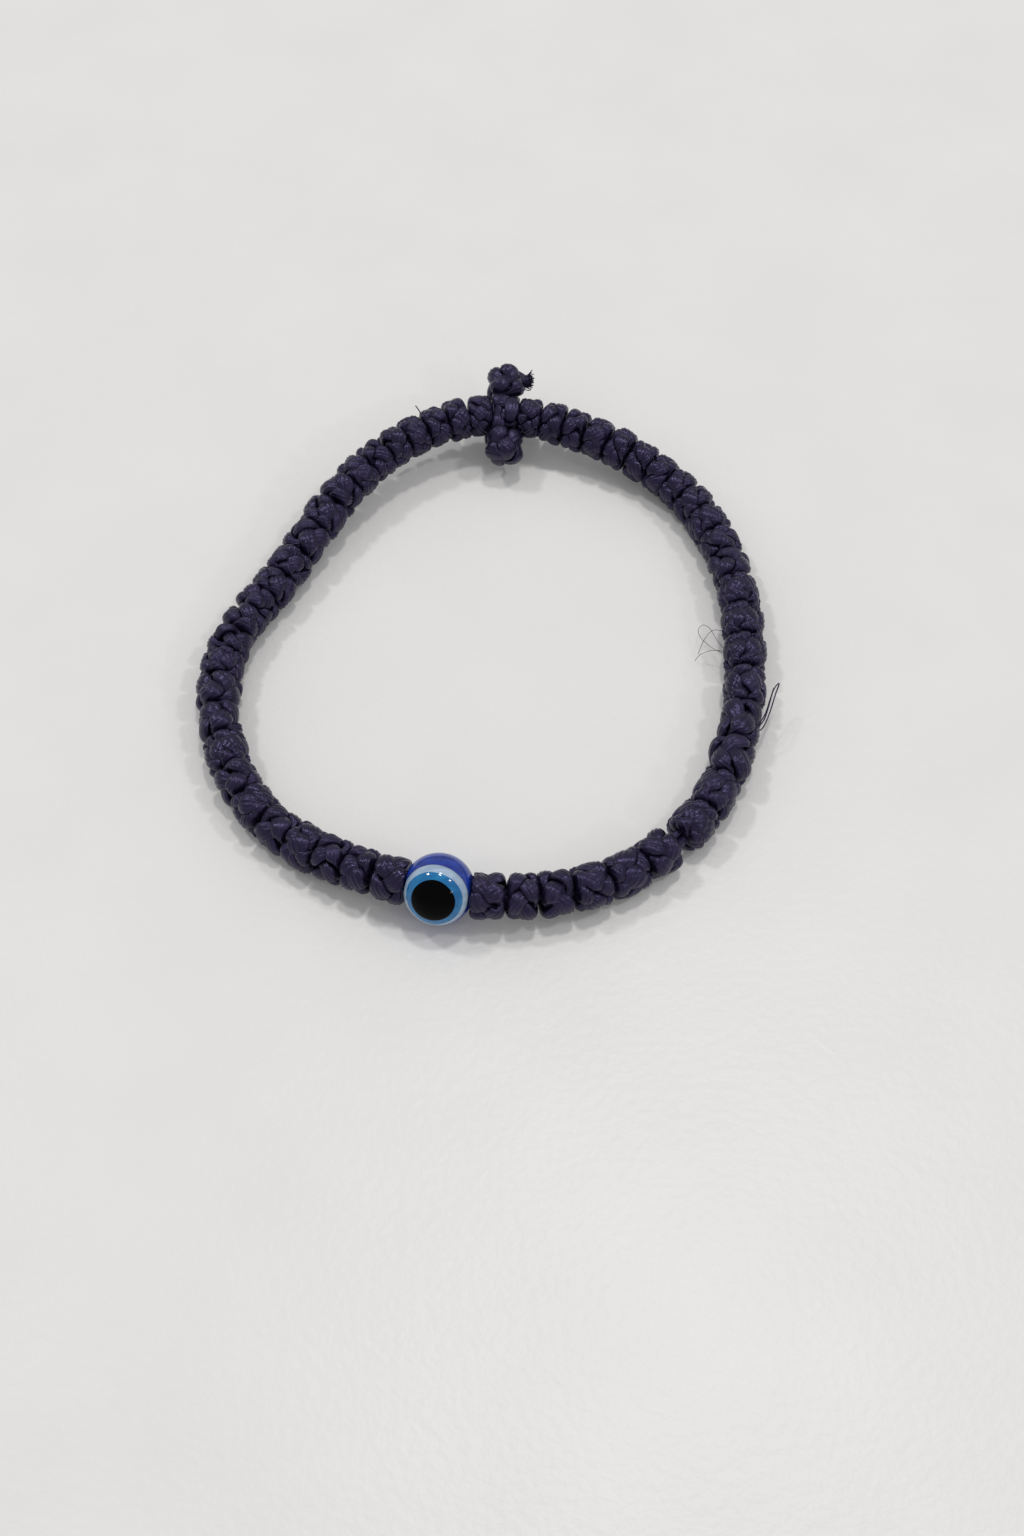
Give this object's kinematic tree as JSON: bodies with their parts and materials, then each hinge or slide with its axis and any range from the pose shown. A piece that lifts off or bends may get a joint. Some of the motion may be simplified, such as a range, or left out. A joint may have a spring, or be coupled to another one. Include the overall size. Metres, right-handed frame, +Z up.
{
  "type": "evil eye bracelet",
  "caption": "Ring bracelet of knotted waxed cord with a round evil eye bead at the front and a small knotted cross at the back.",
  "frame": {"origin": "middle of the bracelet's footprint, on the surface that it lies on", "axes": "+Z up from that surface; the eye bead is on the -Y side and the knotted cross on the +Y side"},
  "size_m": [0.0678, 0.0821, 0.0086],
  "materials": {
    "cord": "dark violet-navy waxed polyester cord, braided knots with a waxy sheen",
    "cobalt_resin": "polished cobalt blue resin",
    "white_resin": "polished milky white resin",
    "light_blue_resin": "polished light blue resin",
    "black_resin": "polished black resin"
  },
  "bodies": {
    "cross": {"cross_centre": "cord"},
    "outer_arm": {"cross_outer_knot": "cord"},
    "inner_arm": {"cross_inner_knot": "cord"},
    "left_back": {"knot_left_01": "cord", "knot_left_02": "cord", "knot_left_03": "cord", "knot_left_04": "cord", "knot_left_05": "cord", "knot_left_06": "cord", "knot_left_07": "cord", "knot_left_08": "cord", "knot_left_09": "cord"},
    "left_side": {"knot_left_10": "cord", "knot_left_11": "cord", "knot_left_12": "cord", "knot_left_13": "cord", "knot_left_14": "cord", "knot_left_15": "cord", "knot_left_16": "cord"},
    "left_front": {"knot_left_17": "cord", "knot_left_18": "cord", "knot_left_19": "cord", "knot_left_20": "cord", "knot_left_21": "cord", "knot_left_22": "cord", "knot_left_23": "cord", "knot_left_24": "cord", "knot_left_25": "cord", "knot_left_26": "cord"},
    "right_back": {"knot_right_01": "cord", "knot_right_02": "cord", "knot_right_03": "cord", "knot_right_04": "cord", "knot_right_05": "cord", "knot_right_06": "cord", "knot_right_07": "cord", "knot_right_08": "cord", "knot_right_09": "cord", "knot_right_10": "cord", "knot_right_11": "cord", "knot_right_12": "cord", "knot_right_13": "cord", "knot_right_14": "cord", "knot_right_15": "cord"},
    "right_front": {"knot_right_16": "cord", "knot_right_17": "cord", "knot_right_18": "cord", "knot_right_19": "cord", "knot_right_20": "cord", "knot_right_21": "cord", "knot_right_22": "cord", "knot_right_23": "cord", "knot_right_24": "cord", "knot_right_25": "cord", "knot_right_26": "cord"},
    "front_cord": {"bead_cord": "cord"},
    "bead": {"bead_body": "cobalt_resin", "eye_white_dot": "white_resin", "eye_blue_dot": "light_blue_resin", "eye_pupil": "black_resin"}
  },
  "joints": [
    {"name": "ring_squeeze", "type": "hinge", "parent": "cross", "child": "left_back", "pos_m": [0.00083, 0.03423, 0.00506], "axis": [0, 0, 1], "range_deg": [-5, 5]},
    {"name": "left_side_flex", "type": "hinge", "parent": "left_back", "child": "left_side", "pos_m": [-0.02123, 0.01602, 0.00328], "axis": [0, 0, 1], "range_deg": [-4.43, 4.43]},
    {"name": "left_front_flex", "type": "hinge", "parent": "left_side", "child": "left_front", "pos_m": [-0.03132, -0.00708, 0.00247], "axis": [0, 0, 1], "range_deg": [-5.16, 5.16]},
    {"name": "front_cord_flex", "type": "hinge", "parent": "left_front", "child": "front_cord", "pos_m": [-0.00862, -0.03626, 0.004], "axis": [0, 0, 1], "range_deg": [-3.61, 3.61]},
    {"name": "right_back_flex", "type": "hinge", "parent": "cross", "child": "right_back", "pos_m": [0.00422, 0.0341, 0.00496], "axis": [0, 0, 1], "range_deg": [-3.89, 3.89]},
    {"name": "right_front_flex", "type": "hinge", "parent": "right_back", "child": "right_front", "pos_m": [0.03123, -0.00584, 0.00247], "axis": [0, 0, 1], "range_deg": [-7.75, 7.75]},
    {"name": "bead_spin", "type": "hinge", "parent": "front_cord", "child": "bead", "pos_m": [-0.00461, -0.03708, 0.004], "axis": [0.9801, -0.1987, 0], "continuous": true},
    {"name": "outer_arm_tilt", "type": "hinge", "parent": "cross", "child": "outer_arm", "pos_m": [0.00262, 0.03634, 0.00547], "axis": [-0.9988, 0.0393, 0.0284], "range_deg": [-10, 10]},
    {"name": "inner_arm_tilt", "type": "hinge", "parent": "cross", "child": "inner_arm", "pos_m": [0.00243, 0.03199, 0.00455], "axis": [-0.9988, 0.0393, 0.0284], "range_deg": [-10, 10]}
  ],
  "couplings": [
    {"joint": "left_side_flex", "follows": "ring_squeeze", "ratio": -0.8854},
    {"joint": "left_front_flex", "follows": "ring_squeeze", "ratio": -1.0313},
    {"joint": "front_cord_flex", "follows": "ring_squeeze", "ratio": 0.7212},
    {"joint": "right_back_flex", "follows": "ring_squeeze", "ratio": -0.7763},
    {"joint": "right_front_flex", "follows": "ring_squeeze", "ratio": 1.5496}
  ]
}
